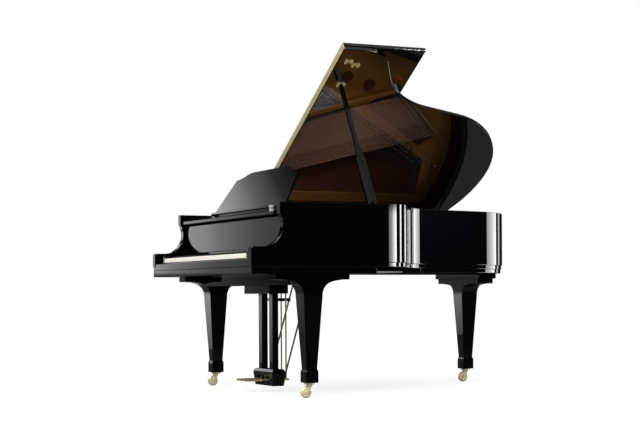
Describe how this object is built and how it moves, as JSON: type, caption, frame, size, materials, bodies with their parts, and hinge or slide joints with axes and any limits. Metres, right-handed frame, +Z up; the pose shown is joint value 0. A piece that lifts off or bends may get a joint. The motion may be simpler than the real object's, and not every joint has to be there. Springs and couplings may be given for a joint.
{
  "type": "grand piano",
  "caption": "Acoustic grand piano in polished black, lid raised on its long prop with the front flap folded back, on tapered legs with casters and a pedal lyre.",
  "frame": {"origin": "on the floor under the middle of the case", "axes": "+X from bass to treble, +Y from the player to the tail, +Z up"},
  "size_m": [1.5113, 1.983, 1.8391],
  "materials": {
    "polished_black": "polished black lacquer over wood",
    "iron_bronze": "bronze paint, satin",
    "spruce": "satin varnish",
    "maple": "satin",
    "steel": "polished",
    "copper": "drawn wire",
    "brass": "polished",
    "key_white": "satin",
    "key_black": "matte",
    "felt": "felt"
  },
  "bodies": {
    "case": {"rim": "polished_black", "rim_base": "polished_black", "inner_rim": "spruce", "case_framing": "spruce", "keybed": "polished_black", "key_slip": "polished_black", "key_blocks": "polished_black", "name_rail": "polished_black", "stretcher": "spruce", "pin_block": "maple", "iron_plate": "iron_bronze", "soundboard": "spruce", "soundboard_ribs": "spruce", "bridges": "maple", "plain_strings": "steel", "wound_strings": "copper", "tuning_pins": "steel", "agraffes": "brass", "damper_guide_rail": "maple", "music_rails": "polished_black", "lid_hinges_case": "brass", "prop_bracket": "brass", "tail_leg_plates": "polished_black", "lyre_frame": "polished_black", "pedal_box": "polished_black", "lyre_braces": "steel", "leg_bass": "polished_black", "leg_treble": "polished_black", "leg_tail": "polished_black"},
    "lid": {"lid": "polished_black", "lid_hinges": "brass", "prop_sockets": "brass"},
    "flap": {"lid_flap": "polished_black", "flap_hinge": "brass"},
    "long_prop": {"lid_prop": "polished_black"},
    "nested_prop": {"short_prop": "polished_black"},
    "fallboard": {"fallboard": "polished_black"},
    "shelf": {"music_shelf": "polished_black"},
    "desk": {"music_desk": "polished_black"},
    "desk_props": {"desk_props": "polished_black"},
    "action": {"key_frame": "maple", "action_rail": "maple"},
    "natural_keys": {"natural_keys": "key_white"},
    "sharp_keys": {"sharp_keys": "key_black"},
    "natural_hammers": {"natural_hammers": "felt"},
    "sharp_hammers": {"sharp_hammers": "felt"},
    "dampers": {"dampers": "felt"},
    "soft_pedal": {"soft_pedal": "brass"},
    "soft_rod": {"soft_rod": "brass"},
    "sostenuto_pedal": {"sostenuto_pedal": "brass"},
    "sostenuto_rod": {"sostenuto_rod": "brass"},
    "damper_pedal": {"damper_pedal": "brass"},
    "damper_rod": {"damper_rod": "brass"},
    "fork_bass": {"caster_fork_bass": "brass"},
    "wheel_bass": {"caster_wheel_bass": "brass"},
    "fork_treble": {"caster_fork_treble": "brass"},
    "wheel_treble": {"caster_wheel_treble": "brass"},
    "fork_tail": {"caster_fork_tail": "brass"},
    "wheel_tail": {"caster_wheel_tail": "brass"}
  },
  "joints": [
    {"name": "lid_hinge", "type": "hinge", "parent": "case", "child": "lid", "pos_m": [-0.748, 0.214, 0.9905], "axis": [0, -1, 0], "range_deg": [0, 45]},
    {"name": "flap_fold", "type": "hinge", "parent": "lid", "child": "flap", "pos_m": [-0.13034, -0.362, 1.413], "axis": [0.842, 0, 0.5395], "range_deg": [0, 180]},
    {"name": "prop_pivot", "type": "hinge", "parent": "case", "child": "long_prop", "pos_m": [0.686, -0.274, 0.935], "axis": [0, -1, 0], "range_deg": [0, 58]},
    {"name": "short_prop_pivot", "type": "hinge", "parent": "long_prop", "child": "nested_prop", "pos_m": [0.65165, -0.274, 0.99599], "axis": [0, 1, 0], "range_deg": [0, 40]},
    {"name": "fallboard_hinge", "type": "hinge", "parent": "case", "child": "fallboard", "pos_m": [0, -0.774, 0.766], "axis": [1, 0, 0], "range_deg": [0, 86]},
    {"name": "shelf_slide", "type": "slide", "parent": "case", "child": "shelf", "axis": [0, 1, 0], "range_m": [0, 0.08]},
    {"name": "desk_hinge", "type": "hinge", "parent": "shelf", "child": "desk", "pos_m": [0, -0.703, 0.966], "axis": [-1, 0, 0], "range_deg": [0, 59]},
    {"name": "desk_prop_fold", "type": "hinge", "parent": "desk", "child": "desk_props", "pos_m": [0, -0.61687, 1.08936], "axis": [1, 0, 0], "range_deg": [0, 111]},
    {"name": "action_shift", "type": "slide", "parent": "case", "child": "action", "axis": [1, 0, 0], "range_m": [0, 0.003]},
    {"name": "natural_press", "type": "hinge", "parent": "action", "child": "natural_keys", "pos_m": [0, -0.736, 0.708], "axis": [1, 0, 0], "range_deg": [0, 2.5]},
    {"name": "sharp_press", "type": "hinge", "parent": "action", "child": "sharp_keys", "pos_m": [0, -0.736, 0.708], "axis": [1, 0, 0], "range_deg": [0, 2.5]},
    {"name": "natural_blow", "type": "hinge", "parent": "action", "child": "natural_hammers", "pos_m": [0, -0.557, 0.772], "axis": [1, 0, 0], "range_deg": [0, 22.5]},
    {"name": "sharp_blow", "type": "hinge", "parent": "action", "child": "sharp_hammers", "pos_m": [0, -0.557, 0.772], "axis": [1, 0, 0], "range_deg": [0, 22.5]},
    {"name": "damper_lift", "type": "slide", "parent": "case", "child": "dampers", "axis": [0, 0, 1], "range_m": [0, 0.007]},
    {"name": "soft_pedal_press", "type": "hinge", "parent": "case", "child": "soft_pedal", "pos_m": [-0.062, -0.586, 0.064], "axis": [1, 0, 0], "range_deg": [0, 5.4], "stiffness_Nm_per_rad": 60, "springref_deg": -2.86},
    {"name": "soft_rod_lift", "type": "slide", "parent": "case", "child": "soft_rod", "axis": [0, 0, 1], "range_m": [0, 0.0085]},
    {"name": "sostenuto_pedal_press", "type": "hinge", "parent": "case", "child": "sostenuto_pedal", "pos_m": [0, -0.586, 0.064], "axis": [1, 0, 0], "range_deg": [0, 5.4], "stiffness_Nm_per_rad": 60, "springref_deg": -2.86},
    {"name": "sostenuto_rod_lift", "type": "slide", "parent": "case", "child": "sostenuto_rod", "axis": [0, 0, 1], "range_m": [0, 0.0085]},
    {"name": "damper_pedal_press", "type": "hinge", "parent": "case", "child": "damper_pedal", "pos_m": [0.062, -0.586, 0.064], "axis": [1, 0, 0], "range_deg": [0, 5.4], "stiffness_Nm_per_rad": 60, "springref_deg": -2.86},
    {"name": "damper_rod_lift", "type": "slide", "parent": "case", "child": "damper_rod", "axis": [0, 0, 1], "range_m": [0, 0.0085]},
    {"name": "bass_swivel", "type": "hinge", "parent": "case", "child": "fork_bass", "pos_m": [-0.655, -0.634, 0.07], "axis": [0, 0, 1], "continuous": true},
    {"name": "bass_roll", "type": "hinge", "parent": "fork_bass", "child": "wheel_bass", "pos_m": [-0.655, -0.654, 0.029], "axis": [1, 0, 0], "continuous": true},
    {"name": "treble_swivel", "type": "hinge", "parent": "case", "child": "fork_treble", "pos_m": [0.655, -0.634, 0.07], "axis": [0, 0, 1], "continuous": true},
    {"name": "treble_roll", "type": "hinge", "parent": "fork_treble", "child": "wheel_treble", "pos_m": [0.655, -0.654, 0.029], "axis": [1, 0, 0], "continuous": true},
    {"name": "tail_swivel", "type": "hinge", "parent": "case", "child": "fork_tail", "pos_m": [-0.306, 0.826, 0.07], "axis": [0, 0, 1], "continuous": true},
    {"name": "tail_roll", "type": "hinge", "parent": "fork_tail", "child": "wheel_tail", "pos_m": [-0.306, 0.806, 0.029], "axis": [1, 0, 0], "continuous": true}
  ],
  "couplings": [
    {"joint": "natural_blow", "follows": "natural_press", "ratio": 9},
    {"joint": "sharp_blow", "follows": "sharp_press", "ratio": 9},
    {"joint": "desk_prop_fold", "follows": "desk_hinge", "ratio": 1.874},
    {"joint": "soft_rod_lift", "follows": "soft_pedal_press", "m_per_rad": 0.088066},
    {"joint": "sostenuto_rod_lift", "follows": "sostenuto_pedal_press", "m_per_rad": 0.088066},
    {"joint": "damper_rod_lift", "follows": "damper_pedal_press", "m_per_rad": 0.088066},
    {"joint": "action_shift", "follows": "soft_pedal_press", "m_per_rad": 0.031725},
    {"joint": "damper_lift", "follows": "damper_pedal_press", "m_per_rad": 0.073211}
  ]
}
